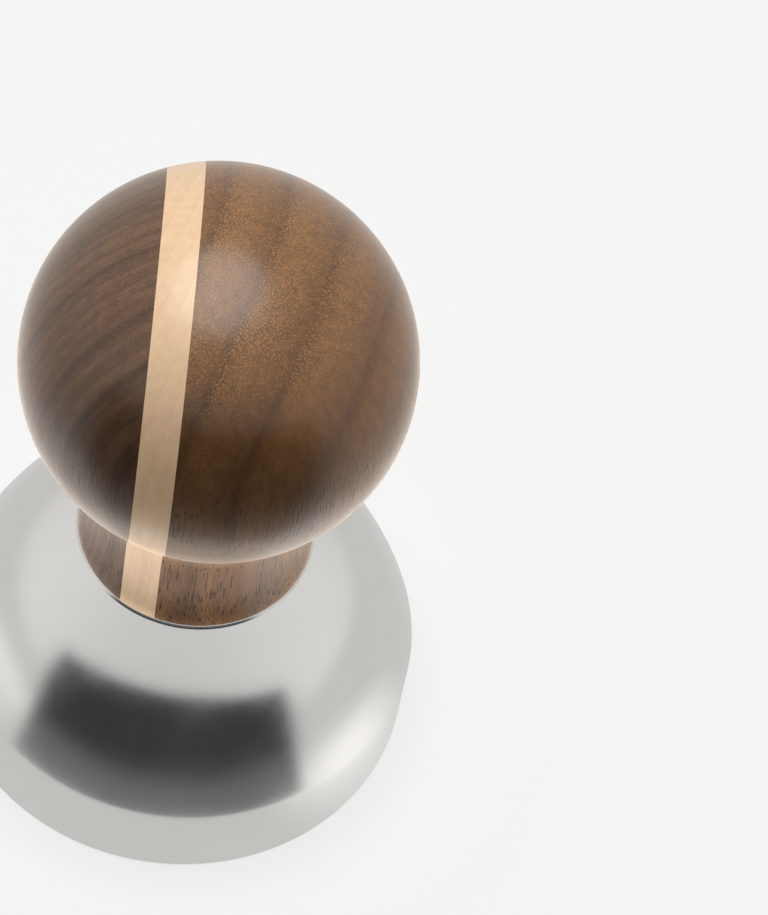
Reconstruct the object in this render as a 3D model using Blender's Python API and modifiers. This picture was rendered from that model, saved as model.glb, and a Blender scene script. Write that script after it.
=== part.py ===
"""Espresso tamper: a turned steel piston, and a ball handle of walnut and maple that screws on to it.

Metres, +Z up. The origin is the centre of the tamping face, and Z is the axis that everything is turned on.
"""

import math

import bmesh
import bpy
from mathutils import Matrix, Vector

# Steel base
BASE_RADIUS = 0.0290
SIDE_HEIGHT = 0.0114
FOOT_CHAMFER = 0.0004
COLLAR_RADIUS = 0.0144
COLLAR_HEIGHT = 0.0002
COLLAR_FILLET = 0.0005
SEAT_HEIGHT = 0.0334
FLANK_SLOPE = math.radians(17.7)
SHOULDER_SLOPE = math.radians(51.0)
FLANK_PULL = 0.0140
SHOULDER_PULL = 0.0070

# Handle: a ball, a hollow neck curve, and a slight flare where it meets the base
SEAT_GAP = 0.0003
BALL_RADIUS = 0.0231
BALL_HEIGHT = 0.0683
NECK_RADIUS = 0.0133
NECK_CURVE_RADIUS = 0.0160
NECK_END_RADIUS = 0.0144
NECK_END_HEIGHT = SEAT_HEIGHT + SEAT_GAP
NECK_EDGE = 0.0003

# Maple board: parallel to the axis, to one side of it, and turned a little about it
STRIPE_THICKNESS = 0.0043
STRIPE_OFFSET = -0.0061
STRIPE_TURN = math.radians(6.8)
GLUE_LINE = 0.0001

# M10 x 1.5 thread, right-handed
PITCH = 0.0015
THREAD_RADIUS = 0.0050
THREAD_DEPTH = 0.00092
THREAD_SLOPE = math.radians(30.0)
THREAD_CLEARANCE = 0.00016
THREAD_OVERCUT = 0.00014
STUD_BELOW_SEAT = 0.0125
STUD_ABOVE_SEAT = 0.0128
STUD_CHAMFER = 0.0006
HEX_SOCKET_RADIUS = 0.0029
HEX_SOCKET_DEPTH = 0.0050
TAPPED_DEPTH = 0.0140

# Insert and washer
INSERT_RADIUS = 0.0065
INSERT_LENGTH = 0.0148
INSERT_GROOVE = 0.0003
INSERT_FIT = 0.0002
BORE_DEPTH = 0.0180
WASHER_OUTER_RADIUS = 0.0090
WASHER_INNER_RADIUS = 0.0056
WASHER_THICKNESS = 0.0010
RECESS_DEPTH = 0.0010
RECESS_RADIUS = WASHER_OUTER_RADIUS + 0.0003
WASHER_LIFT = 0.00015

# Fineness of the faceted surfaces
TURNED_SIDES = 48
THREAD_SIDES = 16
BALL_POINTS = 18
CURVE_POINTS = 7
MERGE_DISTANCE = 0.00001
SHARP_ANGLE = math.radians(29.0)


def material(name, colour, roughness, metallic=0.0):
    found = bpy.data.materials.new(name)
    found.use_nodes = True
    shader = found.node_tree.nodes["Principled BSDF"]
    shader.inputs["Base Color"].default_value = (*colour, 1.0)
    shader.inputs["Roughness"].default_value = roughness
    shader.inputs["Metallic"].default_value = metallic
    found.diffuse_color = (*colour, 1.0)
    return found


def arc(centre, radius, start, end, count):
    """Points (radius, height) along an arc; its angles are measured up from the outward direction."""
    step = (end - start) / (count - 1)
    return [
        (
            centre[0] + radius * math.cos(start + step * i),
            centre[1] + radius * math.sin(start + step * i),
        )
        for i in range(count)
    ]


def bezier(first, first_pull, second_pull, second, count):
    """Points along one cubic curve between two points."""
    points = []
    for i in range(count):
        t = i / (count - 1)
        weights = ((1 - t) ** 3, 3 * t * (1 - t) ** 2, 3 * t**2 * (1 - t), t**3)
        corners = (first, first_pull, second_pull, second)
        points.append(
            tuple(sum(w * corner[axis] for w, corner in zip(weights, corners)) for axis in (0, 1))
        )
    return points


def turned(name, outline, collection, closed=False, sides=TURNED_SIDES):
    """A body turned about Z. The outline's (radius, height) points run down its outer side."""
    mesh = bpy.data.meshes.new(name)
    edges = [(i, i + 1) for i in range(len(outline) - 1)]
    if closed:
        edges.append((len(outline) - 1, 0))
    mesh.from_pydata([(radius, 0.0, height) for radius, height in outline], edges, [])
    body = bpy.data.objects.new(name, mesh)
    collection.objects.link(body)
    screw = body.modifiers.new("Turn", "SCREW")
    screw.steps = sides
    screw.render_steps = sides
    screw.use_merge_vertices = True
    screw.merge_threshold = MERGE_DISTANCE
    screw.use_smooth_shade = True
    return body


def boolean(body, operation, cutter):
    step = body.modifiers.new(cutter.name, "BOOLEAN")
    step.operation = operation
    step.object = cutter
    step.solver = "EXACT"


def as_cutter(body):
    body.hide_render = True
    body.display_type = "WIRE"
    return body


def thread_groove(name, low, high, clearance, cutters):
    """The groove of the thread: a trapezoid wound round Z, from one pitch below low to one above high."""
    outer = THREAD_RADIUS + clearance + THREAD_OVERCUT
    root = THREAD_RADIUS - THREAD_DEPTH + clearance
    crest_half = (PITCH - PITCH / 8) / 2
    widening = math.tan(THREAD_SLOPE)
    flank_shift = clearance / math.cos(THREAD_SLOPE)

    def half_width(radius):
        return crest_half - (THREAD_RADIUS - radius) * widening - flank_shift

    start = PITCH * (math.floor(low / PITCH) - 1)
    turns = math.ceil((high - start) / PITCH) + 1
    shape = bmesh.new()
    corners = (
        (root, -half_width(root)),
        (outer, -half_width(outer)),
        (outer, half_width(outer)),
        (root, half_width(root)),
    )
    face = shape.faces.new([shape.verts.new((radius, 0.0, start + up)) for radius, up in corners])
    bmesh.ops.spin(
        shape,
        geom=[face, *face.edges, *face.verts],
        cent=(0.0, 0.0, 0.0),
        axis=(0.0, 0.0, 1.0),
        dvec=(0.0, 0.0, PITCH / THREAD_SIDES),
        angle=turns * math.tau,
        steps=turns * THREAD_SIDES,
    )
    bmesh.ops.recalc_face_normals(shape, faces=shape.faces)
    mesh = bpy.data.meshes.new(name)
    shape.to_mesh(mesh)
    shape.free()
    groove = bpy.data.objects.new(name, mesh)
    cutters.objects.link(groove)
    return as_cutter(groove)


def threaded_rod(name, low, high, clearance, collection, cutters):
    """A rod with the thread cut along it. With a clearance it is the shape of the tap that cuts a nut for it."""
    radius = THREAD_RADIUS + clearance
    outline = [
        (0.0, high),
        (radius - STUD_CHAMFER, high),
        (radius, high - STUD_CHAMFER),
        (radius, low + STUD_CHAMFER),
        (radius - STUD_CHAMFER, low),
        (0.0, low),
    ]
    rod = turned(name, outline, collection, sides=THREAD_SIDES)
    rod.rotation_euler.z = math.tau / THREAD_SIDES / 2
    boolean(rod, "DIFFERENCE", thread_groove(f"{name}_groove", low, high, clearance, cutters))
    return rod


def base_outline():
    """From the floor of the washer's recess, over seat, collar and dome, down the side to the tamping face."""
    fillet = arc(
        (COLLAR_RADIUS + COLLAR_FILLET, SEAT_HEIGHT - COLLAR_HEIGHT),
        COLLAR_FILLET,
        math.pi,
        math.pi + SHOULDER_SLOPE,
        CURVE_POINTS - 3,
    )
    rim = (BASE_RADIUS, SIDE_HEIGHT)
    shoulder = fillet[-1]
    flank_pull = (
        rim[0] - FLANK_PULL * math.sin(FLANK_SLOPE),
        rim[1] + FLANK_PULL * math.cos(FLANK_SLOPE),
    )
    shoulder_pull = (
        shoulder[0] + SHOULDER_PULL * math.sin(SHOULDER_SLOPE),
        shoulder[1] - SHOULDER_PULL * math.cos(SHOULDER_SLOPE),
    )
    dome = bezier(shoulder, shoulder_pull, flank_pull, rim, CURVE_POINTS * 2)
    return [
        (0.0, SEAT_HEIGHT - RECESS_DEPTH),
        (RECESS_RADIUS, SEAT_HEIGHT - RECESS_DEPTH),
        (RECESS_RADIUS, SEAT_HEIGHT),
        (COLLAR_RADIUS, SEAT_HEIGHT),
        *fillet,
        *dome[1:],
        (BASE_RADIUS, FOOT_CHAMFER),
        (BASE_RADIUS - FOOT_CHAMFER, 0.0),
        (0.0, 0.0),
    ]


def handle_outline():
    """From the top of the ball down to the neck's end, which rests on the seat."""
    reach = BALL_RADIUS + NECK_CURVE_RADIUS
    meeting = math.acos((NECK_RADIUS + NECK_CURVE_RADIUS) / reach)
    waist_height = BALL_HEIGHT - reach * math.sin(meeting)
    ball = arc((0.0, BALL_HEIGHT), BALL_RADIUS, math.pi / 2, -meeting, BALL_POINTS)
    hollow = arc(
        (NECK_RADIUS + NECK_CURVE_RADIUS, waist_height),
        NECK_CURVE_RADIUS,
        math.pi - meeting,
        math.pi,
        CURVE_POINTS,
    )
    drop = waist_height - NECK_END_HEIGHT
    spread = NECK_END_RADIUS - NECK_RADIUS
    flare_radius = (drop**2 + spread**2) / (2 * spread)
    flare = arc(
        (NECK_RADIUS + flare_radius, waist_height),
        flare_radius,
        math.pi,
        math.pi + math.asin((drop - NECK_EDGE) / flare_radius),
        CURVE_POINTS - 2,
    )
    return [
        (0.0, BALL_HEIGHT + BALL_RADIUS),
        *ball[1:],
        *hollow[1:],
        *flare[1:],
        (NECK_END_RADIUS - NECK_EDGE, NECK_END_HEIGHT),
        (0.0, NECK_END_HEIGHT),
    ]


def board_cutter(name, near, far, cutters):
    """The room one board takes up between two planes parallel to the axis, at these distances from it."""
    room = BALL_RADIUS * 3
    bpy.ops.mesh.primitive_cube_add(size=1.0)
    board = bpy.context.object
    board.name = name
    turn = Matrix.Rotation(STRIPE_TURN, 4, "Z")
    shift = Matrix.Translation(Vector(((near + far) / 2, 0.0, BALL_HEIGHT)))
    board.data.transform(turn @ shift @ Matrix.Diagonal((far - near, room, room, 1.0)))
    for collection in board.users_collection:
        collection.objects.unlink(board)
    cutters.objects.link(board)
    return as_cutter(board)


def make_base(parts, cutters):
    base = turned("steel_base", base_outline(), parts)
    floor = SEAT_HEIGHT - TAPPED_DEPTH
    above = SEAT_HEIGHT + PITCH * 2
    tap = as_cutter(threaded_rod("base_tap", floor, above, THREAD_CLEARANCE, cutters, cutters))
    boolean(base, "DIFFERENCE", tap)
    return base


def make_stud(parts, cutters):
    top = SEAT_HEIGHT + STUD_ABOVE_SEAT
    stud = threaded_rod("joining_stud", SEAT_HEIGHT - STUD_BELOW_SEAT, top, 0.0, parts, cutters)
    bpy.ops.mesh.primitive_cylinder_add(
        vertices=6,
        radius=HEX_SOCKET_RADIUS,
        depth=HEX_SOCKET_DEPTH * 2,
        location=(0.0, 0.0, top),
    )
    socket = bpy.context.object
    socket.name = "hex_socket"
    for collection in socket.users_collection:
        collection.objects.unlink(socket)
    cutters.objects.link(socket)
    boolean(stud, "DIFFERENCE", as_cutter(socket))
    return stud


def make_washer(parts):
    low = SEAT_HEIGHT - RECESS_DEPTH + WASHER_LIFT
    high = low + WASHER_THICKNESS
    outline = [
        (WASHER_INNER_RADIUS, high),
        (WASHER_OUTER_RADIUS, high),
        (WASHER_OUTER_RADIUS, low),
        (WASHER_INNER_RADIUS, low),
    ]
    return turned("joint_washer", outline, parts, closed=True)


def make_insert(parts, cutters):
    low = NECK_END_HEIGHT + INSERT_FIT
    high = low + INSERT_LENGTH
    outline = [(0.0, high), (INSERT_RADIUS, high)]
    for share in (0.25, 0.5, 0.75):
        middle = high - share * INSERT_LENGTH
        outline += [
            (INSERT_RADIUS, middle + INSERT_GROOVE * 2),
            (INSERT_RADIUS - INSERT_GROOVE, middle + INSERT_GROOVE),
            (INSERT_RADIUS - INSERT_GROOVE, middle - INSERT_GROOVE),
            (INSERT_RADIUS, middle - INSERT_GROOVE * 2),
        ]
    outline += [(INSERT_RADIUS, low), (0.0, low)]
    insert = turned("threaded_insert", outline, parts)
    tap_low = low - PITCH * 2
    tap_high = high + PITCH * 2
    tap = as_cutter(threaded_rod("insert_tap", tap_low, tap_high, THREAD_CLEARANCE, cutters, cutters))
    boolean(insert, "DIFFERENCE", tap)
    return insert


def make_handle(parts, cutters):
    """Three boards glued side by side, then turned as one; the bore is drilled through the glued block."""
    far = BALL_RADIUS * 2
    stripe_low = STRIPE_OFFSET - STRIPE_THICKNESS / 2
    stripe_high = STRIPE_OFFSET + STRIPE_THICKNESS / 2
    bore_radius = INSERT_RADIUS + INSERT_FIT
    bore_outline = [
        (0.0, NECK_END_HEIGHT + BORE_DEPTH),
        (bore_radius, NECK_END_HEIGHT + BORE_DEPTH),
        (bore_radius, NECK_END_HEIGHT - BORE_DEPTH),
        (0.0, NECK_END_HEIGHT - BORE_DEPTH),
    ]
    bore = as_cutter(turned("insert_bore", bore_outline, cutters))
    walnut = material("walnut", (0.13, 0.065, 0.035), 0.45)
    dark_walnut = material("dark_walnut", (0.09, 0.045, 0.026), 0.45)
    maple = material("maple", (0.75, 0.50, 0.29), 0.42)
    boards = (
        ("handle_walnut_side", -far, stripe_low - GLUE_LINE, dark_walnut),
        ("handle_maple_stripe", stripe_low, stripe_high, maple),
        ("handle_walnut_main", stripe_high + GLUE_LINE, far, walnut),
    )
    for name, near, end, wood in boards:
        block = turned(name, handle_outline(), parts)
        boolean(block, "INTERSECT", board_cutter(f"{name}_board", near, end, cutters))
        if end > -bore_radius:
            boolean(block, "DIFFERENCE", bore)
        block.data.materials.append(wood)


def shade_round_sides(parts):
    """Applies the parts' modifiers, and shades their round sides smooth between crisp edges."""
    scene = bpy.context.evaluated_depsgraph_get()
    meshes = [bpy.data.meshes.new_from_object(part.evaluated_get(scene)) for part in parts.objects]
    for part, mesh in zip(list(parts.objects), meshes):
        part.modifiers.clear()
        part.data = mesh
        mesh.set_sharp_from_angle(angle=SHARP_ANGLE)


def main():
    for obj in list(bpy.data.objects):
        bpy.data.objects.remove(obj)
    scene = bpy.context.scene.collection
    parts = bpy.data.collections.new("espresso_tamper")
    cutters = bpy.data.collections.new("cutters")
    scene.children.link(parts)
    scene.children.link(cutters)
    steel = material("stainless_steel", (0.62, 0.60, 0.57), 0.25, 1.0)
    make_base(parts, cutters).data.materials.append(steel)
    zinc = material("zinc_plated_steel", (0.55, 0.56, 0.58), 0.35, 1.0)
    make_stud(parts, cutters).data.materials.append(zinc)
    rubber = material("black_rubber", (0.02, 0.02, 0.02), 0.7)
    make_washer(parts).data.materials.append(rubber)
    brass = material("brass", (0.70, 0.50, 0.20), 0.3, 1.0)
    make_insert(parts, cutters).data.materials.append(brass)
    make_handle(parts, cutters)
    shade_round_sides(parts)


main()
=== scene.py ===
import math

import bpy
from mathutils import Matrix, Vector


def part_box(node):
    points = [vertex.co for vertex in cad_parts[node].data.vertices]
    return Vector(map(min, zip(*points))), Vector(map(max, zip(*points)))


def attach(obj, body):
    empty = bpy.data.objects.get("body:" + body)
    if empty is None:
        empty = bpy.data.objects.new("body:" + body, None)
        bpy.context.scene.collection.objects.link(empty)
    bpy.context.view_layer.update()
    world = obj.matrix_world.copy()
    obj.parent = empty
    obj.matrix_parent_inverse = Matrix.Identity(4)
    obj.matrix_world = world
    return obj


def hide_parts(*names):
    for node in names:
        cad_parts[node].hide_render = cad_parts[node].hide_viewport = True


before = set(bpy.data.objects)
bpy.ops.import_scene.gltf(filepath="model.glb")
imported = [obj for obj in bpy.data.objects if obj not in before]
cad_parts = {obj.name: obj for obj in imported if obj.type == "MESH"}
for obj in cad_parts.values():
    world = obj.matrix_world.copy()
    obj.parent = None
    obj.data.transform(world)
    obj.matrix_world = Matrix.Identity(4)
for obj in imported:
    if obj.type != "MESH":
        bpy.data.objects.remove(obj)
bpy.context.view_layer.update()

# --- Studio ---------------------------------------------------------------------------------------
# A white sheet under the tamper, an even pale sky, and one broad soft lamp overhead. The camera
# looks down on the ball through a long lens half a metre away, a little tilted. Lengths here are in
# metres, and those that a material works with are in millimetres.

BALL_HEIGHT = 0.0683
VIEW_ELEVATION = math.radians(56.1)
VIEW_TILT = math.radians(11.6)
VIEW_DISTANCE = 0.500
FOOT_IN_VIEW = Vector((-0.0266, -0.0264))
SENSOR = 36.0
PICTURE_LONG_SIDE = 0.105
NEAREST_VIEW = 0.01

view_back = Vector((0.0, -math.cos(VIEW_ELEVATION), math.sin(VIEW_ELEVATION)))
level_right = Vector((1.0, 0.0, 0.0))
level_up = view_back.cross(level_right)
view_right = level_right * math.cos(VIEW_TILT) + level_up * math.sin(VIEW_TILT)
view_up = level_up * math.cos(VIEW_TILT) - level_right * math.sin(VIEW_TILT)
lens = bpy.data.cameras.new("studio_camera")
lens.sensor_width = SENSOR
lens.lens = SENSOR * VIEW_DISTANCE / PICTURE_LONG_SIDE
lens.clip_start = NEAREST_VIEW
camera = bpy.data.objects.new("studio_camera", lens)
bpy.context.scene.collection.objects.link(camera)
stand = Matrix((view_right, view_up, view_back)).transposed().to_4x4()
stand.translation = (
    view_back * (VIEW_DISTANCE + BALL_HEIGHT * math.sin(VIEW_ELEVATION))
    - view_right * FOOT_IN_VIEW.x
    - view_up * FOOT_IN_VIEW.y
)
camera.matrix_world = stand
bpy.context.scene.camera = camera
bpy.context.scene.view_settings.view_transform = "Standard"


def shader_of(name):
    """A new material; returns it with its node tree and its Principled shader."""
    made = bpy.data.materials.new(name)
    made.use_nodes = True
    return made, made.node_tree, made.node_tree.nodes["Principled BSDF"]


def add_node(tree, kind, inputs=(), **settings):
    """Adds a node and sets its properties. An input is a value, or an output to join to it."""
    made = tree.nodes.new(kind)
    for key, value in settings.items():
        setattr(made, key, value)
    for key, value in dict(inputs).items():
        if isinstance(value, bpy.types.NodeSocket):
            tree.links.new(value, made.inputs[key])
        else:
            made.inputs[key].default_value = value
    return made


def maths(tree, operation, first, second=0.0, third=0.0):
    inputs = {0: first, 1: second, 2: third}
    return add_node(tree, "ShaderNodeMath", inputs, operation=operation).outputs[0]


def spread(tree, value, low, high, to_low=0.0, to_high=1.0, kind="SMOOTHSTEP"):
    """Maps low..high to to_low..to_high, by a smooth step or straight, and holds it outside."""
    inputs = {"Value": value, "From Min": low, "From Max": high}
    inputs |= {"To Min": to_low, "To Max": to_high}
    return add_node(tree, "ShaderNodeMapRange", inputs, interpolation_type=kind).outputs["Result"]


def noise(tree, where, scale, detail=2.0, roughness=0.5):
    inputs = {"Vector": where, "Scale": scale, "Detail": detail, "Roughness": roughness}
    return add_node(tree, "ShaderNodeTexNoise", inputs).outputs["Fac"]


def in_millimetres(tree, stretch=(1.0, 1.0, 1.0), shift=(0.0, 0.0, 0.0), turn=0.0):
    """Object coordinates in millimetres, moved by shift, turned about Z, and scaled by stretch."""
    place = add_node(tree, "ShaderNodeTexCoord").outputs["Object"]
    inputs = {
        "Vector": place,
        "Location": tuple(s * k for s, k in zip(shift, stretch)),
        "Rotation": (0.0, 0.0, turn),
        "Scale": tuple(1000.0 * k for k in stretch),
    }
    return add_node(tree, "ShaderNodeMapping", inputs, vector_type="POINT").outputs["Vector"]


def blend_colours(tree, share, first, second, kind="MIX"):
    """Mixes two colours, each three numbers or a node's output, by share."""
    inputs = {
        key: (*value, 1.0) if isinstance(value, tuple) else value
        for key, value in ((0, share), (6, first), (7, second))
    }
    return add_node(tree, "ShaderNodeMix", inputs, data_type="RGBA", blend_type=kind).outputs[2]


PAPER_SIZE = 6.0
PAPER_GLOW = 0.74
PAPER_GREY = (0.120, 0.120, 0.120)
PAPER_PALE = (0.130, 0.130, 0.130)
paper, paper_tree, paper_shader = shader_of("white_paper")
paper_fibre = noise(paper_tree, in_millimetres(paper_tree), 1.5, 3.0)
paper_tint = blend_colours(paper_tree, paper_fibre, PAPER_GREY, PAPER_PALE)
paper_tree.links.new(paper_tint, paper_shader.inputs["Base Color"])
paper_shader.inputs["Roughness"].default_value = 0.9
paper_shader.inputs["Specular IOR Level"].default_value = 0.0
paper_shader.inputs["Emission Color"].default_value = (1.0, 1.0, 1.0, 1.0)
paper_shader.inputs["Emission Strength"].default_value = PAPER_GLOW
bpy.ops.object.select_all(action="DESELECT")
bpy.ops.mesh.primitive_plane_add(size=PAPER_SIZE)
paper_floor = bpy.context.object
paper_floor.name = "paper_floor"
paper_floor.data.materials.append(paper)
paper_floor.visible_diffuse = False
paper_floor.visible_glossy = False
paper_floor.visible_shadow = False

# What the tamper reflects and is lit by, beside the lamp: a white table that shines most in two
# spots at its left and right, its round edge, a dark floor beyond that, and the dark side of the
# room. The reaches, the inset, the softness and the spots are in millimetres.
TABLE_LEVEL = -0.0005
TABLE_GLOW = 0.68
TABLE_REACH = 51.5
TABLE_SPOTS = (((48.0, -18.0, 0.0), 30.0, 0.50), ((-82.0, -34.0, 0.0), 48.0, 0.36))
SPOT_CORE = 4.0
DARK_REACH = 132.0
EDGE_GLOW = 0.17
EDGE_INSET = 18.0
EDGE_SOFTNESS = 4.0
EDGE_WIDTH = 6.0
ROOM_FRONT = -0.400
ROOM_HEIGHT = 0.207
ROOM_LEFT = -0.595
ROOM_RIGHT = 0.745
ROOM_HALF_ANGLE = math.radians(59.0)
ROOM_SOFT_ANGLE = 0.03
ROOM_TURN = math.radians(-3.0)
ROOM_GLOW = 0.03
LIGHT_TINT = (1.0, 0.995, 0.98, 1.0)
SKY_GLOW = 0.72
SKY_SIDES = 0.14
SKY_TINT = (1.0, 0.995, 0.985, 1.0)


def lit(name, tree_of_strength):
    """A surface that only shines, with the strength that this function works out in its tree."""
    made = bpy.data.materials.new(name)
    made.use_nodes = True
    tree = made.node_tree
    tree.nodes.remove(tree.nodes["Principled BSDF"])
    shine = add_node(tree, "ShaderNodeEmission", {0: LIGHT_TINT, 1: tree_of_strength(tree)})
    tree.links.new(shine.outputs[0], tree.nodes["Material Output"].inputs["Surface"])
    return made


def table_strength(tree):
    """Bright up to its round edge, and dark beyond it within the room's angle."""
    place = in_millimetres(tree)
    turned = add_node(tree, "ShaderNodeSeparateXYZ", {0: in_millimetres(tree, turn=ROOM_TURN)})
    glow = TABLE_GLOW
    for centre, reach, extra in TABLE_SPOTS:
        spot = add_node(tree, "ShaderNodeVectorMath", {0: place, 1: centre}, operation="DISTANCE")
        away = spot.outputs["Value"]
        glow = maths(tree, "ADD", glow, spread(tree, away, SPOT_CORE, reach, extra, 0.0))
    beside = maths(tree, "ADD", maths(tree, "ABSOLUTE", turned.outputs[0]), EDGE_INSET)
    before = maths(tree, "MULTIPLY", turned.outputs[1], -1.0)
    angle = maths(tree, "ARCTAN2", beside, before)
    inside = spread(
        tree, angle, ROOM_HALF_ANGLE - ROOM_SOFT_ANGLE, ROOM_HALF_ANGLE + ROOM_SOFT_ANGLE, 1.0, 0.0
    )
    length = add_node(tree, "ShaderNodeVectorMath", {0: place}, operation="LENGTH")
    distance = length.outputs["Value"]
    beyond = spread(tree, distance, TABLE_REACH - EDGE_SOFTNESS, TABLE_REACH + EDGE_SOFTNESS)
    shaded = maths(tree, "MULTIPLY", inside, beyond)
    shade = spread(tree, distance, TABLE_REACH + EDGE_WIDTH, DARK_REACH, EDGE_GLOW, ROOM_GLOW)
    shade = maths(tree, "MULTIPLY", shade, shaded)
    return maths(tree, "MULTIPLY_ADD", glow, maths(tree, "SUBTRACT", 1.0, shaded), shade)


bpy.ops.object.select_all(action="DESELECT")
bpy.ops.mesh.primitive_plane_add(size=PAPER_SIZE, location=(0.0, 0.0, TABLE_LEVEL))
table = bpy.context.object
table.name = "reflected_table"
table.data.materials.append(lit("table_light", table_strength))
bpy.ops.object.select_all(action="DESELECT")
bpy.ops.mesh.primitive_plane_add(
    size=1.0,
    location=((ROOM_LEFT + ROOM_RIGHT) / 2, ROOM_FRONT, ROOM_HEIGHT / 2),
    rotation=(math.pi / 2, 0.0, 0.0),
)
room = bpy.context.object
room.name = "reflected_room"
room.scale = (ROOM_RIGHT - ROOM_LEFT, ROOM_HEIGHT, 1.0)
room.data.materials.append(lit("room_shade", lambda tree: ROOM_GLOW))
for unseen in (table, room):
    unseen.visible_camera = False
    unseen.visible_shadow = False

sky = bpy.data.worlds.new("studio_sky")
bpy.context.scene.world = sky
sky.use_nodes = True
sky_tree = sky.node_tree
sky_way = add_node(sky_tree, "ShaderNodeTexCoord").outputs["Generated"]
sideways = add_node(sky_tree, "ShaderNodeSeparateXYZ", {0: sky_way}).outputs[0]
sideways_squared = maths(sky_tree, "MULTIPLY", sideways, sideways)
sky_glow = maths(sky_tree, "MULTIPLY_ADD", sideways_squared, SKY_SIDES, SKY_GLOW)
sky_light = sky_tree.nodes["Background"]
sky_tree.links.new(sky_glow, sky_light.inputs["Strength"])
sky_light.inputs["Color"].default_value = SKY_TINT

SOFTBOX_PLACE = (-0.080, 0.08, 0.91)
SOFTBOX_WIDTH = 0.80
SOFTBOX_POWER = 6.2
softbox_light = bpy.data.lights.new("overhead_softbox", "AREA")
softbox_light.shape = "DISK"
softbox_light.size = SOFTBOX_WIDTH
softbox_light.energy = SOFTBOX_POWER
softbox = bpy.data.objects.new("overhead_softbox", softbox_light)
bpy.context.scene.collection.objects.link(softbox)
softbox.location = SOFTBOX_PLACE
towards_ball = Vector((0.0, 0.0, BALL_HEIGHT)) - Vector(SOFTBOX_PLACE)
softbox.rotation_euler = towards_ball.to_track_quat("-Z", "Y").to_euler()

# --- Steel piston ---------------------------------------------------------------------------------
# Turned from stainless bar: a flat tamping face with a broken edge, a plain side, a domed shoulder
# up to the seat for the handle, a shallow recess for the washer, and a blind hole for the stud.
# Polished to a satin shine.

BASE_SIDES = 192
BASE_RADIUS = 0.0290
SIDE_HEIGHT = 0.0114
FOOT_CHAMFER = 0.0004
COLLAR_RADIUS = 0.0144
COLLAR_HEIGHT = 0.0002
COLLAR_FILLET = 0.0005
SEAT_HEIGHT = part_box("steel_base")[1].z
SEAT_EDGE = 0.00006
RIM_EDGE = 0.0001
FLANK_SLOPE = math.radians(17.7)
SHOULDER_SLOPE = math.radians(51.0)
FLANK_PULL = 0.0140
SHOULDER_PULL = 0.0070
DOME_RINGS = 44
FILLET_RINGS = 9
RECESS_RADIUS = 0.0093
RECESS_DEPTH = 0.0010
HOLE_RADIUS = 0.00505
HOLE_DEPTH = 0.0140
MERGE_DISTANCE = 0.000001
ROUND_SIDE_ANGLE = 30.0


def arc(centre, radius, start, end, count):
    """Points (radius, height) along an arc. Its angles go up from the outward direction."""
    step = (end - start) / (count - 1)
    return [
        (
            centre[0] + radius * math.cos(start + step * i),
            centre[1] + radius * math.sin(start + step * i),
        )
        for i in range(count)
    ]


def bezier(first, first_pull, second_pull, second, count):
    """Points along one cubic curve between two points, both ends included."""
    corners = (first, first_pull, second_pull, second)
    points = []
    for i in range(count):
        t = i / (count - 1)
        weights = ((1 - t) ** 3, 3 * t * (1 - t) ** 2, 3 * t**2 * (1 - t), t**3)
        points.append(
            tuple(sum(w * corner[axis] for w, corner in zip(weights, corners)) for axis in (0, 1))
        )
    return points


def draw_rings(rings):
    """In edit mode: extrudes the selected face from ring to ring. A ring is (radius, height)."""
    for (radius, height), (next_radius, next_height) in zip(rings, rings[1:]):
        bpy.ops.mesh.extrude_region_move(
            TRANSFORM_OT_translate={"value": (0.0, 0.0, next_height - height)}
        )
        if next_radius != radius:
            share = next_radius / radius
            bpy.ops.transform.resize(
                value=(share, share, 1.0), center_override=(0.0, 0.0, next_height)
            )


def start_disc(name, radius, height, sides):
    """A round face at this height, open in edit mode and selected."""
    bpy.ops.object.select_all(action="DESELECT")
    bpy.ops.mesh.primitive_circle_add(
        vertices=sides, radius=radius, fill_type="NGON", location=(0.0, 0.0, height)
    )
    disc = bpy.context.object
    disc.name = name
    bpy.ops.object.mode_set(mode="EDIT")
    bpy.ops.mesh.select_all(action="SELECT")
    return disc


def finish_mesh(piece, sharp=ROUND_SIDE_ANGLE):
    """Leaves edit mode with outward normals and smooth sides, and the object at the origin."""
    if bpy.context.mode != "EDIT_MESH":
        bpy.ops.object.mode_set(mode="EDIT")
    bpy.ops.mesh.select_all(action="SELECT")
    bpy.ops.mesh.remove_doubles(threshold=MERGE_DISTANCE)
    bpy.ops.mesh.normals_make_consistent(inside=False)
    bpy.ops.mesh.select_all(action="DESELECT")
    bpy.ops.object.mode_set(mode="OBJECT")
    bpy.ops.object.select_all(action="DESELECT")
    piece.select_set(True)
    bpy.context.view_layer.objects.active = piece
    bpy.ops.object.transform_apply(location=True, rotation=True, scale=True)
    bpy.ops.object.shade_smooth_by_angle(angle=math.radians(sharp))
    return piece


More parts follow.
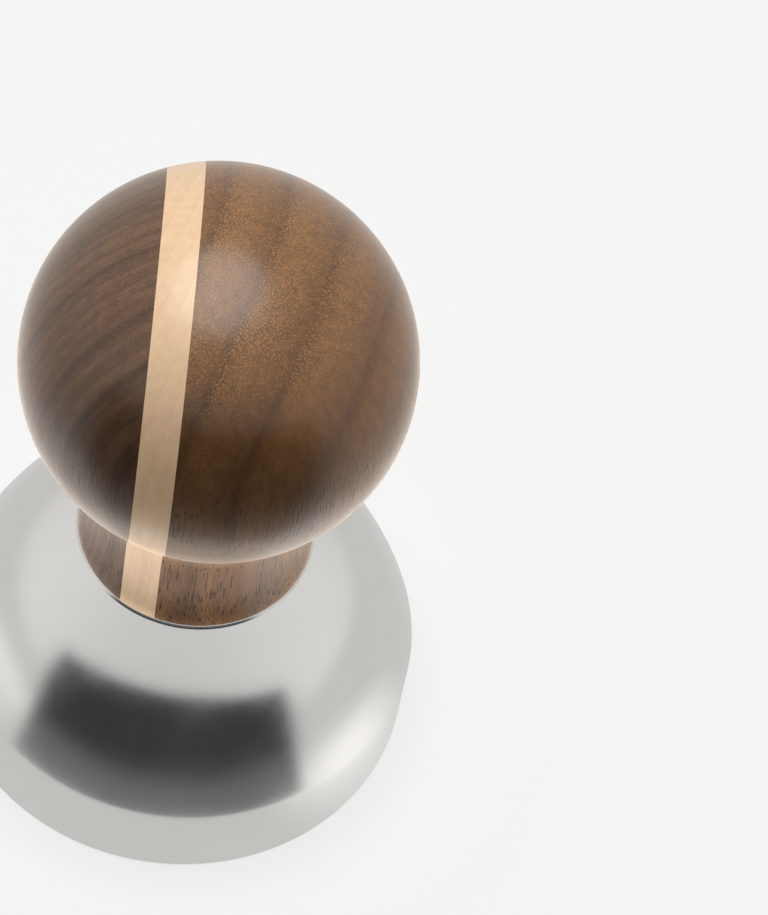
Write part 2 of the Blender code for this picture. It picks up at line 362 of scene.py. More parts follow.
fillet = arc(
    (COLLAR_RADIUS + COLLAR_FILLET, SEAT_HEIGHT - COLLAR_HEIGHT),
    COLLAR_FILLET,
    math.pi + SHOULDER_SLOPE,
    math.pi,
    FILLET_RINGS,
)
rim = (BASE_RADIUS, SIDE_HEIGHT)
shoulder = fillet[0]
flank_pull = (
    rim[0] - FLANK_PULL * math.sin(FLANK_SLOPE),
    rim[1] + FLANK_PULL * math.cos(FLANK_SLOPE),
)
shoulder_pull = (
    shoulder[0] + SHOULDER_PULL * math.sin(SHOULDER_SLOPE),
    shoulder[1] - SHOULDER_PULL * math.cos(SHOULDER_SLOPE),
)
dome = bezier(rim, flank_pull, shoulder_pull, shoulder, DOME_RINGS)
base_rings = [
    (BASE_RADIUS - FOOT_CHAMFER, 0.0),
    (BASE_RADIUS, FOOT_CHAMFER),
    (BASE_RADIUS, SIDE_HEIGHT - RIM_EDGE),
    *dome[1:],
    *fillet[1:],
    (COLLAR_RADIUS, SEAT_HEIGHT - SEAT_EDGE),
    (COLLAR_RADIUS - SEAT_EDGE, SEAT_HEIGHT),
    (RECESS_RADIUS, SEAT_HEIGHT),
    (RECESS_RADIUS, SEAT_HEIGHT - RECESS_DEPTH),
    (HOLE_RADIUS, SEAT_HEIGHT - RECESS_DEPTH),
    (HOLE_RADIUS, SEAT_HEIGHT - HOLE_DEPTH),
]
piston = start_disc("piston", *base_rings[0], BASE_SIDES)
draw_rings(base_rings)
finish_mesh(piston)

STEEL_GREY = (0.755, 0.742, 0.72)
STEEL_PALE = (0.785, 0.772, 0.752)
STEEL_ROUGHNESS = (0.16, 0.22)
TURNING_ROUGHNESS = 0.05


def add_relief(tree, shader, strength, depth, height):
    """A fine relief of this depth on the surface. Returns its normal."""
    inputs = {"Strength": strength, "Distance": depth, "Height": height}
    normal = add_node(tree, "ShaderNodeBump", inputs).outputs[0]
    tree.links.new(normal, shader.inputs["Normal"])
    return normal


steel, steel_tree, steel_shader = shader_of("satin_stainless")
cut_spacing = in_millimetres(steel_tree, stretch=(0.02, 0.02, 1.0))
turning = noise(steel_tree, cut_spacing, 14.0, 3.0, 0.6)
smudge = noise(steel_tree, in_millimetres(steel_tree), 0.09, 4.0, 0.6)
steel_tint = blend_colours(steel_tree, smudge, STEEL_GREY, STEEL_PALE)
steel_tree.links.new(steel_tint, steel_shader.inputs["Base Color"])
satin = spread(steel_tree, smudge, 0.35, 0.7, *STEEL_ROUGHNESS)
satin = maths(steel_tree, "MULTIPLY_ADD", turning, TURNING_ROUGHNESS, satin)
steel_tree.links.new(satin, steel_shader.inputs["Roughness"])
steel_shader.inputs["Metallic"].default_value = 1.0
add_relief(steel_tree, steel_shader, 0.08, 0.00002, turning)
piston.data.materials.append(steel)
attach(piston, "base")
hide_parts("steel_base")

# The light that the polished dome and the paper round it throw up at the handle's neck and
# underside: a shining funnel just clear of the dome, and a shining ring on the table. Neither the
# camera nor the steel sees them. Each end of a surface is (radius, height).
BOUNCE_FRONT = 1.0
BOUNCE_SIDES = 1.2
BOUNCE_TURN = (0.3, 1.4)
DOME_BOUNCE = 9.0
PAPER_BOUNCE = 7.0
FUNNEL_INNER = (0.0170, 0.0320)
FUNNEL_OUTER = (0.0270, 0.0215)
SKIRT_INNER = (0.0292, -0.0003)
SKIRT_OUTER = (0.0620, -0.0003)
BOUNCE_SEGMENTS = 64


def bounce_strength(tree, glow):
    """A little brighter at the sides than in front, by the angle round the axis."""
    parts = add_node(tree, "ShaderNodeSeparateXYZ", {0: in_millimetres(tree)})
    aside = maths(tree, "ABSOLUTE", parts.outputs[0])
    forward = maths(tree, "MULTIPLY", parts.outputs[1], -1.0)
    angle = maths(tree, "ARCTAN2", aside, forward)
    share = spread(tree, angle, *BOUNCE_TURN, BOUNCE_FRONT, BOUNCE_SIDES)
    return maths(tree, "MULTIPLY", share, glow)


for name, outer, inner, glow in (
    ("dome_bounce", FUNNEL_OUTER, FUNNEL_INNER, DOME_BOUNCE),
    ("paper_bounce", SKIRT_OUTER, SKIRT_INNER, PAPER_BOUNCE),
):
    bounce = start_disc(name, *outer, BOUNCE_SEGMENTS)
    bpy.ops.mesh.delete(type="ONLY_FACE")
    bpy.ops.mesh.select_all(action="SELECT")
    bpy.ops.mesh.extrude_region_move(
        TRANSFORM_OT_translate={"value": (0.0, 0.0, inner[1] - outer[1])}
    )
    share = inner[0] / outer[0]
    bpy.ops.transform.resize(value=(share, share, 1.0), center_override=(0.0, 0.0, inner[1]))
    finish_mesh(bounce)
    bounce.data.materials.append(lit(name + "_light", lambda tree: bounce_strength(tree, glow)))
    bounce.visible_camera = False
    bounce.visible_glossy = False
    bounce.visible_shadow = False

# --- Joining stud ---------------------------------------------------------------------------------
# A headless M10 stud of zinc-plated steel, bonded in the piston's blind hole. The handle screws
# down on it, and its upper end has a hexagon socket. The thread's groove is a trapezoid drawn along
# a helix and cut from a plain rod.

PITCH = 0.0015
THREAD_RADIUS = 0.0050
THREAD_DEPTH = 0.00092
THREAD_SLOPE = math.radians(30.0)
THREAD_STEPS = 48
THREAD_HALF_GAP = PITCH * 7 / 16
THREAD_EDGE_ANGLE = 25.0
STUD_BELOW_SEAT = 0.0125
STUD_ABOVE_SEAT = 0.0128
STUD_CHAMFER = 0.0006
SOCKET_RADIUS = 0.0029
SOCKET_DEPTH = 0.0050
OVERCUT = 0.0002


def cut(piece, operation, cutter):
    """Applies a Boolean with this cutter and removes the cutter."""
    bpy.ops.object.select_all(action="DESELECT")
    bpy.context.view_layer.objects.active = piece
    step = piece.modifiers.new("Cut", "BOOLEAN")
    step.operation = operation
    step.object = cutter
    step.solver = "EXACT"
    bpy.ops.object.modifier_apply(modifier="Cut")
    bpy.data.objects.remove(cutter)


def thread_groove(low, high, clearance):
    """The groove of the thread between these heights, as a closed solid for cutting."""
    root = THREAD_RADIUS - THREAD_DEPTH + clearance
    outer = THREAD_RADIUS + clearance + OVERCUT
    start = PITCH * (math.floor(low / PITCH) - 1)
    turns = math.ceil((high - start) / PITCH) + 1
    shift = clearance / math.cos(THREAD_SLOPE)
    half_outer = THREAD_HALF_GAP + (outer - THREAD_RADIUS) * math.tan(THREAD_SLOPE) - shift
    half_root = THREAD_HALF_GAP - (THREAD_RADIUS - root) * math.tan(THREAD_SLOPE) - shift
    bpy.ops.object.select_all(action="DESELECT")
    bpy.ops.mesh.primitive_plane_add(
        size=1.0, location=((root + outer) / 2, 0.0, start), rotation=(math.pi / 2, 0.0, 0.0)
    )
    groove = bpy.context.object
    groove.scale = (outer - root, half_outer * 2, 1.0)
    bpy.ops.object.transform_apply(location=True, rotation=True, scale=True)
    bpy.ops.object.mode_set(mode="EDIT")
    bpy.ops.mesh.delete(type="ONLY_FACE")
    bpy.ops.mesh.select_all(action="DESELECT")
    bpy.ops.object.mode_set(mode="OBJECT")
    for corner in groove.data.vertices:
        corner.select = corner.co.x < (root + outer) / 2
    bpy.ops.object.mode_set(mode="EDIT")
    bpy.ops.transform.resize(
        value=(1.0, 1.0, half_root / half_outer), center_override=(root, 0.0, start)
    )
    bpy.ops.object.mode_set(mode="OBJECT")
    helix = groove.modifiers.new("Helix", "SCREW")
    helix.steps = THREAD_STEPS
    helix.render_steps = THREAD_STEPS
    helix.screw_offset = PITCH
    helix.iterations = turns
    bpy.ops.object.modifier_apply(modifier="Helix")
    bpy.ops.object.mode_set(mode="EDIT")
    bpy.ops.mesh.select_all(action="SELECT")
    bpy.ops.mesh.fill_holes(sides=4)
    bpy.ops.mesh.select_all(action="SELECT")
    bpy.ops.mesh.normals_make_consistent(inside=False)
    bpy.ops.object.mode_set(mode="OBJECT")
    return groove


stud_low = SEAT_HEIGHT - STUD_BELOW_SEAT
stud_high = SEAT_HEIGHT + STUD_ABOVE_SEAT
stud_rings = [
    (THREAD_RADIUS - STUD_CHAMFER, stud_low),
    (THREAD_RADIUS, stud_low + STUD_CHAMFER),
    (THREAD_RADIUS, stud_high - STUD_CHAMFER),
    (THREAD_RADIUS - STUD_CHAMFER, stud_high),
]
stud = start_disc("threaded_stud", *stud_rings[0], THREAD_STEPS + 1)
draw_rings(stud_rings)
finish_mesh(stud)
cut(stud, "DIFFERENCE", thread_groove(stud_low, stud_high, 0.0))
bpy.ops.mesh.primitive_cylinder_add(
    vertices=6, radius=SOCKET_RADIUS, depth=SOCKET_DEPTH * 2, location=(0.0, 0.0, stud_high)
)
cut(stud, "DIFFERENCE", bpy.context.object)
bpy.context.view_layer.objects.active = stud
finish_mesh(stud, THREAD_EDGE_ANGLE)

ZINC_GREY = (0.50, 0.51, 0.52)
ZINC_PALE = (0.62, 0.62, 0.61)
ZINC_ROUGHNESS = (0.25, 0.42)
NOISE_RANGE = (0.3, 0.7)
zinc, zinc_tree, zinc_shader = shader_of("zinc_plate")
zinc_spangle = noise(zinc_tree, in_millimetres(zinc_tree), 1.2, 3.0)
zinc_tint = blend_colours(zinc_tree, zinc_spangle, ZINC_GREY, ZINC_PALE)
zinc_tree.links.new(zinc_tint, zinc_shader.inputs["Base Color"])
zinc_satin = spread(zinc_tree, zinc_spangle, *NOISE_RANGE, *ZINC_ROUGHNESS)
zinc_tree.links.new(zinc_satin, zinc_shader.inputs["Roughness"])
zinc_shader.inputs["Metallic"].default_value = 1.0
zinc_grit = noise(zinc_tree, in_millimetres(zinc_tree), 12.0)
add_relief(zinc_tree, zinc_shader, 0.15, 0.00002, zinc_grit)
stud.data.materials.append(zinc)
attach(stud, "base")
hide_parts("joining_stud")

# --- Joint washer ---------------------------------------------------------------------------------
# A flat ring of black nitrile rubber, loose in the recess of the seat. It keeps the handle from
# working loose and keeps coffee out of the thread. Moulded, with rounded edges.

WASHER_RADIUS = 0.0090
WASHER_HOLE = 0.0056
WASHER_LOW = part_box("joint_washer")[0].z
WASHER_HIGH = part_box("joint_washer")[1].z
WASHER_EDGE = 0.0002
WASHER_SIDES = 96
WASHER_ROUND_STEPS = 4
WASHER_CORNER_ANGLE = 60.0
WASHER_SMOOTH_ANGLE = 45.0
washer = start_disc("rubber_washer", WASHER_RADIUS, WASHER_LOW, WASHER_SIDES)
bpy.ops.mesh.inset(thickness=WASHER_RADIUS - WASHER_HOLE)
bpy.ops.mesh.delete(type="FACE")
bpy.ops.mesh.select_all(action="SELECT")
bpy.ops.mesh.extrude_region_move(
    TRANSFORM_OT_translate={"value": (0.0, 0.0, WASHER_HIGH - WASHER_LOW)}
)
bpy.ops.object.mode_set(mode="OBJECT")
rounding = washer.modifiers.new("Round", "BEVEL")
rounding.width = WASHER_EDGE
rounding.segments = WASHER_ROUND_STEPS
rounding.limit_method = "ANGLE"
rounding.angle_limit = math.radians(WASHER_CORNER_ANGLE)
bpy.ops.object.modifier_apply(modifier="Round")
finish_mesh(washer, WASHER_SMOOTH_ANGLE)

RUBBER_BLACK = (0.012, 0.012, 0.013)
RUBBER_BLOOM = (0.03, 0.03, 0.032)
RUBBER_ROUGHNESS = (0.5, 0.68)
rubber, rubber_tree, rubber_shader = shader_of("black_nitrile")
bloom = noise(rubber_tree, in_millimetres(rubber_tree), 0.8, 4.0)
rubber_tint = blend_colours(rubber_tree, bloom, RUBBER_BLACK, RUBBER_BLOOM)
rubber_tree.links.new(rubber_tint, rubber_shader.inputs["Base Color"])
rubber_matt = spread(rubber_tree, bloom, *NOISE_RANGE, *RUBBER_ROUGHNESS)
rubber_tree.links.new(rubber_matt, rubber_shader.inputs["Roughness"])
rubber_grain = noise(rubber_tree, in_millimetres(rubber_tree), 9.0, 3.0)
add_relief(rubber_tree, rubber_shader, 0.3, 0.00003, rubber_grain)
washer.data.materials.append(rubber)
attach(washer, "washer")
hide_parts("joint_washer")

# --- Threaded insert ------------------------------------------------------------------------------
# A brass bush turned from bar, knurled in bands and bonded into the bore of the neck, with an M10
# thread tapped right through it. Its lower end is flush with the end of the neck.

INSERT_RADIUS = 0.0065
INSERT_GROOVE = 0.0003
INSERT_SIDES = 96
INSERT_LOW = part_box("threaded_insert")[0].z
INSERT_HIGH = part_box("threaded_insert")[1].z
INSERT_GROOVE_PLACES = (0.25, 0.5, 0.75)
KNURL_DEPTH = 0.0001
KNURL_RISE = 0.9
TAP_CLEARANCE = 0.00016
TAP_CHAMFER = 0.0007

insert_rings = [(INSERT_RADIUS - KNURL_DEPTH, INSERT_LOW)]
for share in INSERT_GROOVE_PLACES:
    middle = INSERT_LOW + share * (INSERT_HIGH - INSERT_LOW)
    insert_rings += [
        (INSERT_RADIUS - KNURL_DEPTH, middle - INSERT_GROOVE * 2),
        (INSERT_RADIUS - INSERT_GROOVE, middle - INSERT_GROOVE),
        (INSERT_RADIUS - INSERT_GROOVE, middle + INSERT_GROOVE),
        (INSERT_RADIUS - KNURL_DEPTH, middle + INSERT_GROOVE * 2),
    ]
insert_rings.append((INSERT_RADIUS - KNURL_DEPTH, INSERT_HIGH))
insert = start_disc("brass_insert", *insert_rings[0], INSERT_SIDES)
draw_rings(insert_rings)
finish_mesh(insert)
for face in insert.data.polygons:
    heights = [insert.data.vertices[corner].co.z for corner in face.vertices]
    tall = max(heights) - min(heights)
    angle = math.atan2(face.center.y, face.center.x)
    slot_number = math.floor((angle / math.tau) * INSERT_SIDES)
    face.select = abs(face.normal.z) < 0.1 and tall > INSERT_GROOVE * 4 and slot_number % 2 == 0
bpy.ops.object.mode_set(mode="EDIT")
bpy.ops.mesh.select_mode(type="FACE")
bpy.ops.mesh.inset(
    thickness=KNURL_DEPTH / 2, depth=KNURL_DEPTH * KNURL_RISE, use_individual=True
)
finish_mesh(insert)
tap_rings = [
    (THREAD_RADIUS + TAP_CHAMFER, INSERT_LOW - TAP_CHAMFER),
    (THREAD_RADIUS + TAP_CLEARANCE, INSERT_LOW + TAP_CHAMFER / 2),
    (THREAD_RADIUS + TAP_CLEARANCE, INSERT_HIGH + PITCH),
]
tap = start_disc("tap", *tap_rings[0], THREAD_STEPS + 1)
draw_rings(tap_rings)
finish_mesh(tap)
cut(tap, "DIFFERENCE", thread_groove(INSERT_LOW - PITCH, INSERT_HIGH + PITCH * 2, TAP_CLEARANCE))
cut(insert, "DIFFERENCE", tap)
finish_mesh(insert, THREAD_EDGE_ANGLE)

BRASS_DULL = (0.60, 0.40, 0.15)
BRASS_BRIGHT = (0.78, 0.58, 0.27)
BRASS_ROUGHNESS = (0.2, 0.38)
brass, brass_tree, brass_shader = shader_of("machined_brass")
tarnish = noise(brass_tree, in_millimetres(brass_tree), 0.6, 4.0)
brass_tint = blend_colours(brass_tree, tarnish, BRASS_DULL, BRASS_BRIGHT)
brass_tree.links.new(brass_tint, brass_shader.inputs["Base Color"])
brass_satin = spread(brass_tree, tarnish, *NOISE_RANGE, *BRASS_ROUGHNESS)
brass_tree.links.new(brass_satin, brass_shader.inputs["Roughness"])
brass_shader.inputs["Metallic"].default_value = 1.0
facing_marks = noise(brass_tree, in_millimetres(brass_tree, stretch=(1.0, 1.0, 0.3)), 8.0, 3.0)
add_relief(brass_tree, brass_shader, 0.15, 0.00002, facing_marks)
insert.data.materials.append(brass)
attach(insert, "handle")
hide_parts("threaded_insert")

# --- Handle blank ---------------------------------------------------------------------------------
# Three boards are glued side by side, bored for the insert, and turned as one: a ball, a hollow
# curve down to the neck, and a slight flare to the seat. The blank is made whole here and sawn into
# its three boards below.

BALL_RADIUS = 0.0231
NECK_RADIUS = 0.0133
NECK_CURVE_RADIUS = 0.0160
NECK_END_RADIUS = 0.0144
NECK_END_HEIGHT = SEAT_HEIGHT + 0.00004
NECK_EDGE = 0.00008
BORE_RADIUS = 0.0067
BORE_DEPTH = 0.0180
BALL_SEGMENTS = 224
BALL_RINGS = 112
NECK_RINGS = 24
WOOD_SMOOTH_ANGLE = 35.0

reach = BALL_RADIUS + NECK_CURVE_RADIUS
meeting = math.acos((NECK_RADIUS + NECK_CURVE_RADIUS) / reach)
waist_height = BALL_HEIGHT - reach * math.sin(meeting)
hollow = arc(
    (NECK_RADIUS + NECK_CURVE_RADIUS, waist_height),
    NECK_CURVE_RADIUS,
    math.pi - meeting,
    math.pi,
    NECK_RINGS,
)
drop = waist_height - NECK_END_HEIGHT
flare_out = NECK_END_RADIUS - NECK_RADIUS
flare_radius = (drop**2 + flare_out**2) / (2 * flare_out)
flare = arc(
    (NECK_RADIUS + flare_radius, waist_height),
    flare_radius,
    math.pi,
    math.pi + math.asin((drop - NECK_EDGE) / flare_radius),
    NECK_RINGS // 2,
)
neck_rings = [
    *hollow,
    *flare[1:],
    (NECK_END_RADIUS - NECK_EDGE / 3, NECK_END_HEIGHT + NECK_EDGE / 3),
    (NECK_END_RADIUS - NECK_EDGE, NECK_END_HEIGHT),
    (BORE_RADIUS, NECK_END_HEIGHT),
    (BORE_RADIUS, NECK_END_HEIGHT + BORE_DEPTH),
]
bpy.ops.object.select_all(action="DESELECT")
bpy.ops.mesh.primitive_uv_sphere_add(
    segments=BALL_SEGMENTS,
    ring_count=BALL_RINGS,
    radius=BALL_RADIUS,
    location=(0.0, 0.0, BALL_HEIGHT),
)
blank = bpy.context.object
blank.name = "handle_blank"
bpy.ops.object.mode_set(mode="EDIT")
bpy.ops.mesh.select_all(action="SELECT")
bpy.ops.mesh.bisect(
    plane_co=(0.0, 0.0, neck_rings[0][1]),
    plane_no=(0.0, 0.0, 1.0),
    use_fill=True,
    clear_inner=True,
)
draw_rings(neck_rings)
finish_mesh(blank, WOOD_SMOOTH_ANGLE)

STRIPE_THICKNESS = 0.0043
STRIPE_OFFSET = -0.0061
STRIPE_TURN = math.radians(6.8)
SAW_ACCURACY = 0.0000001
across = Vector((math.cos(STRIPE_TURN), math.sin(STRIPE_TURN), 0.0))
stripe_low = across * (STRIPE_OFFSET - STRIPE_THICKNESS / 2)
stripe_high = across * (STRIPE_OFFSET + STRIPE_THICKNESS / 2)


def saw_board(name, low_cut, high_cut):
    """A copy of the blank between two saw cuts; a cut that is None leaves that side whole."""
    bpy.ops.object.select_all(action="DESELECT")
    blank.select_set(True)
    bpy.context.view_layer.objects.active = blank
    bpy.ops.object.duplicate()
    board = bpy.context.object
    board.name = name
    bpy.ops.object.mode_set(mode="EDIT")
    for place, direction in ((low_cut, across), (high_cut, -across)):
        if place is not None:
            bpy.ops.mesh.select_all(action="SELECT")
            bpy.ops.mesh.bisect(
                plane_co=place,
                plane_no=direction,
                use_fill=True,
                clear_inner=True,
                threshold=SAW_ACCURACY,
            )
    return finish_mesh(board, WOOD_SMOOTH_ANGLE)


FINE_FIBRE = 5.5
FINE_STRETCH = (1.0, 1.0, 0.05)
COARSE_FIBRE = 0.9
COARSE_STRETCH = (1.0, 1.0, 0.04)
PORE_CORE = 0.55
PORE_SCATTER = 90.0
PORE_FADE = 0.06
COAT_ROUGHNESS = 0.25
COAT_IOR = 1.5
SHEEN_WEIGHT = 0.38
SHEEN_ROUGHNESS = 0.36
SHEEN_TINT = (1.0, 0.84, 0.70, 1.0)


def wood_grain(tree, turn=0.0):
    """Fibres along Z, fine and coarse, each from 0 to 1: specks on end grain, streaks on sides."""
    along_fine = in_millimetres(tree, stretch=FINE_STRETCH, turn=turn)
    along_coarse = in_millimetres(tree, stretch=COARSE_STRETCH, turn=turn)
    fine = noise(tree, along_fine, FINE_FIBRE, 3.0, 0.6)
    coarse = noise(tree, along_coarse, COARSE_FIBRE, 3.0, 0.6)
    return fine, coarse


def pores(tree, spacing, size, length, gaps):
    """Vessels along Z, round dots on end grain and thin dashes on the sides: 1 inside a vessel."""
    flat = in_millimetres(tree, stretch=(1.0, 1.0, 0.0))
    cells = add_node(
        tree,
        "ShaderNodeTexVoronoi",
        {"Vector": flat, "Scale": 1.0 / spacing, "Randomness": 1.0},
        voronoi_dimensions="2D",
        feature="F1",
    )
    core, rim_of_pore = size / spacing * PORE_CORE, size / spacing
    inside = spread(tree, cells.outputs["Distance"], core, rim_of_pore, 1.0, 0.0)
    own = add_node(tree, "ShaderNodeSeparateColor", {0: cells.outputs["Color"]})
    height = add_node(tree, "ShaderNodeSeparateXYZ", {0: in_millimetres(tree)}).outputs[2]
    run = add_node(
        tree,
        "ShaderNodeCombineXYZ",
        {
            0: maths(tree, "MULTIPLY", own.outputs[0], PORE_SCATTER),
            1: maths(tree, "MULTIPLY", own.outputs[1], PORE_SCATTER),
            2: maths(tree, "DIVIDE", height, length),
        },
    ).outputs[0]
    broken = noise(tree, run, 1.0, 0.0)
    return maths(tree, "MULTIPLY", inside, spread(tree, broken, gaps, gaps + PORE_FADE))


def lacquer(tree, shader, roughness):
    """A satin lacquer over the wood."""
    tree.links.new(roughness, shader.inputs["Roughness"])
    shader.inputs["Specular IOR Level"].default_value = 0.0
    shader.inputs["Coat Weight"].default_value = 1.0
    shader.inputs["Coat Roughness"].default_value = COAT_ROUGHNESS
    shader.inputs["Coat IOR"].default_value = COAT_IOR
    shader.inputs["Sheen Weight"].default_value = SHEEN_WEIGHT
    shader.inputs["Sheen Roughness"].default_value = SHEEN_ROUGHNESS
    shader.inputs["Sheen Tint"].default_value = SHEEN_TINT


# --- Large walnut board ---------------------------------------------------------------------------
# Black walnut with its grain along the handle's axis, so the ball's top is end grain and its
# underside long grain. The tree's rings are arcs about a pith 70 mm to the left, about 7 mm apart,
# with large vessels inside each ring.

PITH = (-70.4, 8.4)
FIRST_RING = 74.9
RING_SPACING = 6.9
RING_WAVINESS = 1.6
SWAY_SCALE = 0.11
RIPPLE_SCALE = 0.6
RIPPLE_SHARE = 0.25


def rings_of(tree, pith, first, spacing, waviness):
    """How far a point is through its growth ring: 0 just outside a line, 1 at the next line."""
    place = in_millimetres(tree, shift=(-pith[0], -pith[1], 0.0))
    flat = add_node(
        tree, "ShaderNodeVectorMath", {0: place, 1: (1.0, 1.0, 0.0)}, operation="MULTIPLY"
    )
    length = add_node(tree, "ShaderNodeVectorMath", {0: flat.outputs[0]}, operation="LENGTH")
    distance = length.outputs["Value"]
    sway = noise(tree, in_millimetres(tree, stretch=(1.0, 1.0, 0.3)), SWAY_SCALE, 2.0)
    ripple = noise(tree, in_millimetres(tree, stretch=(1.0, 1.0, 0.2)), RIPPLE_SCALE, 2.0)
    for wave, reach in ((sway, waviness), (ripple, waviness * RIPPLE_SHARE)):
        wave = maths(tree, "SUBTRACT", wave, 0.5)
        distance = maths(tree, "MULTIPLY_ADD", wave, reach, distance)
    share = maths(tree, "DIVIDE", maths(tree, "SUBTRACT", distance, first), spacing)
    return maths(tree, "FRACT", share)


def colour_steps(tree, share, steps):
    """A colour ramp from (place, colour) pairs."""
    ramp = add_node(tree, "ShaderNodeValToRGB", {0: share})
    ramp.color_ramp.interpolation = "EASE"
    while len(ramp.color_ramp.elements) < len(steps):
        ramp.color_ramp.elements.new(0.5)
    for element, (place, colour) in zip(ramp.color_ramp.elements, steps):
        element.position = place
        element.color = (*colour, 1.0)
    return ramp.outputs[0]


# Painted shade: the wood's colour is darkened towards the front of the ball, by its depth along Y,
# standing in for the shade that falls there. Vessels are pale dots in the end grain near the ball's
# top and dark dashes in the long grain below its middle. A set of vessels is its spacing, its size
# as a share of the board's own, its length, and how much of it is gaps.
PAINTED_SHADE_DEEPEST = -19.5
PAINTED_SHADE_ENDS = -12.5
PAINTED_SHADE_TONE = 0.52
END_GRAIN_LOW = BALL_HEIGHT * 1000 + 10.5
END_GRAIN_HIGH = BALL_HEIGHT * 1000 + 19.0
END_GRAIN_DEPTH = 0.50
LONG_GRAIN_LOW = BALL_HEIGHT * 1000 + 1.0
LONG_GRAIN_HIGH = BALL_HEIGHT * 1000 + 8.0
LONG_GRAIN_DEPTH = (0.92, 0.15)
VESSEL_DARK = (0.015, 0.009, 0.007)
SMALL_VESSELS = (0.30, 0.95, 2.5, 0.30)
LARGE_VESSELS = (0.66, 1.5, 2.2, 0.44)
LARGE_DEPTH = 0.95
LARGE_ON_END_GRAIN = 0.45
VESSEL_RELIEF = -0.6
FIBRE_RELIEF = 0.12
WALNUT_ROUGHNESS = (0.42, 0.54)


def walnut_finish(name, ring, steps, pore_size, gold):
    """Walnut under satin lacquer: ring colours, fibres and vessels, and painted shade at the front.
    """
    wood, tree, shader = shader_of(name)
    share = ring(tree)
    fine, coarse = wood_grain(tree)
    colour = colour_steps(tree, share, steps)
    darker = spread(tree, coarse, *NOISE_RANGE, 0.80, 1.18, "LINEAR")
    finer = spread(tree, fine, 0.25, 0.75, 0.82, 1.16, "LINEAR")
    tone = maths(tree, "MULTIPLY", darker, finer)
    parts = add_node(tree, "ShaderNodeSeparateXYZ", {0: in_millimetres(tree)})
    depth_in_ball, height = parts.outputs[1], parts.outputs[2]
    # Painted shade: darker towards the front of the ball, by its depth along Y.
    painted_front_shade = spread(tree, depth_in_ball, PAINTED_SHADE_DEEPEST, PAINTED_SHADE_ENDS, PAINTED_SHADE_TONE, 1.0)
    tone = maths(tree, "MULTIPLY", tone, painted_front_shade)
    tone = add_node(tree, "ShaderNodeCombineColor", {0: tone, 1: tone, 2: tone}).outputs[0]
    colour = blend_colours(tree, 1.0, colour, tone, "MULTIPLY")
    end_grain = spread(tree, height, END_GRAIN_LOW, END_GRAIN_HIGH)
    patches = noise(tree, in_millimetres(tree, stretch=(1.0, 1.0, 0.3)), 0.13, 2.0)
    fewer = maths(
        tree,
        "MULTIPLY",
        spread(tree, share, 0.1, 0.95, 1.0, 0.45, "LINEAR"),
        spread(tree, patches, 0.35, 0.62, 0.55, 1.0),
    )
    small, large = (
        pores(tree, spacing, pore_size * size, length, gaps)
        for spacing, size, length, gaps in (SMALL_VESSELS, LARGE_VESSELS)
    )
    small = maths(tree, "MULTIPLY", small, fewer)
    large = maths(tree, "MULTIPLY", large, LARGE_DEPTH)
    paler = spread(tree, end_grain, 0.0, 1.0, 1.0, LARGE_ON_END_GRAIN, "LINEAR")
    vessels = maths(tree, "MAXIMUM", small, maths(tree, "MULTIPLY", large, paler))
    vessel_colour = blend_colours(tree, end_grain, VESSEL_DARK, gold)
    long_grain = spread(tree, height, LONG_GRAIN_LOW, LONG_GRAIN_HIGH, *LONG_GRAIN_DEPTH)
    end_depth = maths(tree, "MULTIPLY", end_grain, END_GRAIN_DEPTH)
    depth = maths(tree, "MULTIPLY", vessels, maths(tree, "MAXIMUM", long_grain, end_depth))
    colour = blend_colours(tree, depth, colour, vessel_colour)
    tree.links.new(colour, shader.inputs["Base Color"])
    lacquer(tree, shader, spread(tree, fine, *NOISE_RANGE, *WALNUT_ROUGHNESS, "LINEAR"))
    fibres = maths(tree, "MULTIPLY", fine, FIBRE_RELIEF)
    relief = maths(tree, "MULTIPLY_ADD", depth, VESSEL_RELIEF, fibres)
    normal = add_relief(tree, shader, 0.45, 0.00008, relief)
    tree.links.new(normal, shader.inputs["Coat Normal"])
    return wood


LARGE_BOARD_PORE = 0.095
LARGE_BOARD_GOLD = (0.46, 0.26, 0.10)
walnut = walnut_finish(
    "walnut_satin",
    lambda tree: rings_of(tree, PITH, FIRST_RING, RING_SPACING, RING_WAVINESS),
    (
        (0.00, (0.112, 0.048, 0.016)),
        (0.16, (0.154, 0.068, 0.022)),
        (0.34, (0.170, 0.076, 0.025)),
        (0.60, (0.156, 0.069, 0.023)),
        (0.84, (0.136, 0.060, 0.020)),
        (1.00, (0.110, 0.047, 0.016)),
    ),
    LARGE_BOARD_PORE,
    LARGE_BOARD_GOLD,
)
board_main = saw_board("walnut_board_large", stripe_high, None)
board_main.data.materials.append(walnut)
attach(board_main, "handle")
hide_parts("handle_walnut_main")

# --- Small walnut board ---------------------------------------------------------------------------
# A darker offcut of walnut with close, straight rings, which cross the ball's top at a slant. It is
# glued to the far face of the maple board.

STRIPES_TURN = math.radians(-27.0)
STRIPES_SCALE = 0.55
STRIPES_SWAY = 1.2
STRIPES_START = 3.7
SMALL_BOARD_PORE = 0.085
SMALL_BOARD_GOLD = (0.20, 0.115, 0.055)


def close_rings(tree):
    """Uneven straight rings two or three millimetres apart."""
    place = in_millimetres(tree, turn=STRIPES_TURN)
    parts = add_node(tree, "ShaderNodeSeparateXYZ", {0: place})
    sway = noise(tree, in_millimetres(tree, stretch=(1.0, 1.0, 0.3)), 0.16, 2.0)
    sway = maths(tree, "SUBTRACT", sway, 0.5)
    offset = maths(tree, "MULTIPLY_ADD", sway, STRIPES_SWAY, parts.outputs[1])
    line = add_node(tree, "ShaderNodeCombineXYZ", {0: STRIPES_START, 1: offset, 2: 0.0})
    stripes = noise(tree, line.outputs[0], STRIPES_SCALE, 3.0, 0.55)
    return spread(tree, stripes, 0.28, 0.72, 0.0, 1.0, "LINEAR")


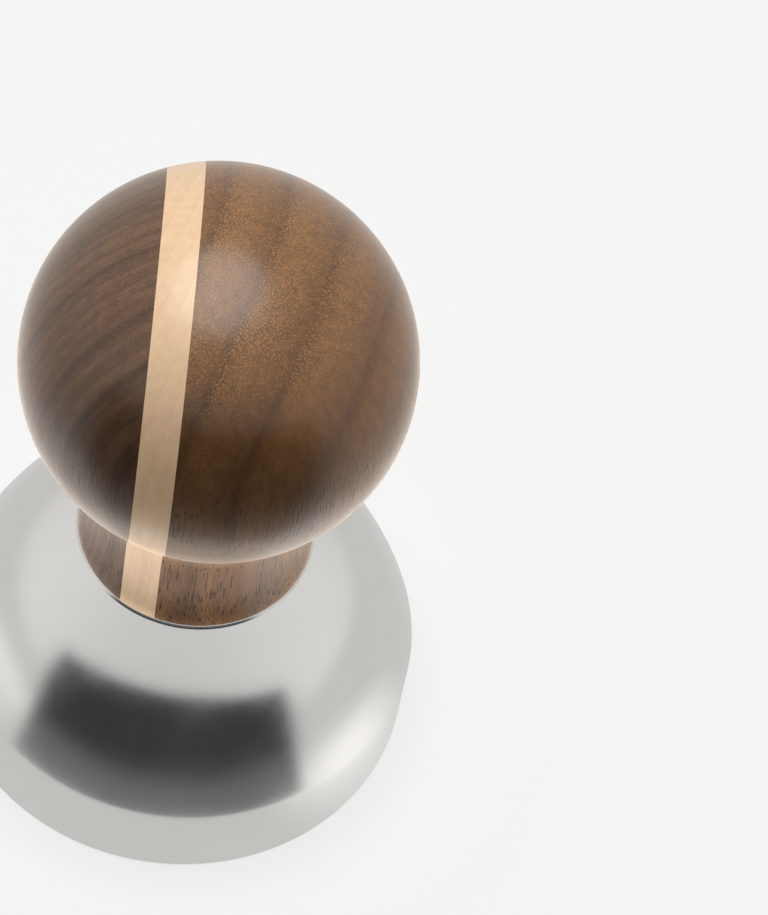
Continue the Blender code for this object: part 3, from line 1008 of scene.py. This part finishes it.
dark_walnut = walnut_finish(
    "walnut_dark_satin",
    close_rings,
    (
        (0.00, (0.130, 0.065, 0.032)),
        (0.35, (0.110, 0.054, 0.026)),
        (0.60, (0.084, 0.040, 0.020)),
        (0.80, (0.062, 0.029, 0.016)),
        (1.00, (0.050, 0.023, 0.013)),
    ),
    SMALL_BOARD_PORE,
    SMALL_BOARD_GOLD,
)
board_side = saw_board("walnut_board_small", None, stripe_low)
board_side.data.materials.append(dark_walnut)
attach(board_side, "handle")
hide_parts("handle_walnut_side")

# --- Maple board ----------------------------------------------------------------------------------
# A thin board of hard maple between the two walnut ones: pale, close grained, with vessels too fine
# to see and a faint fleck, under the same lacquer. Its set of vessels gives their own size.

MAPLE_PITH = (-190.0, 40.0)
MAPLE_RING_SPACING = 1.9
MAPLE_RING_WAVINESS = 1.0
MAPLE_PALE = (0.625, 0.430, 0.268)
MAPLE_DARK = (0.60, 0.405, 0.245)
MAPLE_FLECK = (0.36, 0.20, 0.10)
# Painted shade: the maple's colour is darkened towards the front of the ball, by its depth along Y.
MAPLE_PAINTED_SHADE_DEEPEST = -20.0
MAPLE_PAINTED_SHADE_ENDS = -9.0
MAPLE_PAINTED_SHADE_TONE = 0.83
MAPLE_VESSELS = (0.35, 0.05, 1.2, 0.5)
MAPLE_VESSEL_DEPTH = 0.35
MAPLE_ROUGHNESS = (0.40, 0.50)

maple, maple_tree, maple_shader = shader_of("maple_satin")
maple_fine, maple_coarse = wood_grain(maple_tree, STRIPE_TURN)
maple_rings = rings_of(maple_tree, MAPLE_PITH, 0.0, MAPLE_RING_SPACING, MAPLE_RING_WAVINESS)
maple_colour = blend_colours(maple_tree, maple_rings, MAPLE_PALE, MAPLE_DARK)
maple_tone = maths(
    maple_tree,
    "MULTIPLY",
    spread(maple_tree, maple_coarse, *NOISE_RANGE, 0.95, 1.05, "LINEAR"),
    spread(maple_tree, maple_fine, 0.25, 0.75, 0.96, 1.04, "LINEAR"),
)
maple_parts = add_node(maple_tree, "ShaderNodeSeparateXYZ", {0: in_millimetres(maple_tree)})
# Painted shade: darker towards the front of the ball, by its depth along Y.
maple_painted_shade = spread(
    maple_tree, maple_parts.outputs[1], MAPLE_PAINTED_SHADE_DEEPEST, MAPLE_PAINTED_SHADE_ENDS, MAPLE_PAINTED_SHADE_TONE, 1.0
)
maple_tone = maths(maple_tree, "MULTIPLY", maple_tone, maple_painted_shade)
maple_tone = add_node(
    maple_tree, "ShaderNodeCombineColor", {0: maple_tone, 1: maple_tone, 2: maple_tone}
).outputs[0]
maple_colour = blend_colours(maple_tree, 1.0, maple_colour, maple_tone, "MULTIPLY")
maple_pores = maths(maple_tree, "MULTIPLY", pores(maple_tree, *MAPLE_VESSELS), MAPLE_VESSEL_DEPTH)
maple_colour = blend_colours(maple_tree, maple_pores, maple_colour, MAPLE_FLECK)
maple_tree.links.new(maple_colour, maple_shader.inputs["Base Color"])
maple_satin = spread(maple_tree, maple_fine, *NOISE_RANGE, *MAPLE_ROUGHNESS, "LINEAR")
lacquer(maple_tree, maple_shader, maple_satin)
add_relief(maple_tree, maple_shader, 0.15, 0.00003, maple_fine)
board_maple = saw_board("maple_board", stripe_low, stripe_high)
board_maple.data.materials.append(maple)
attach(board_maple, "handle")
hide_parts("handle_maple_stripe")
bpy.data.objects.remove(blank)
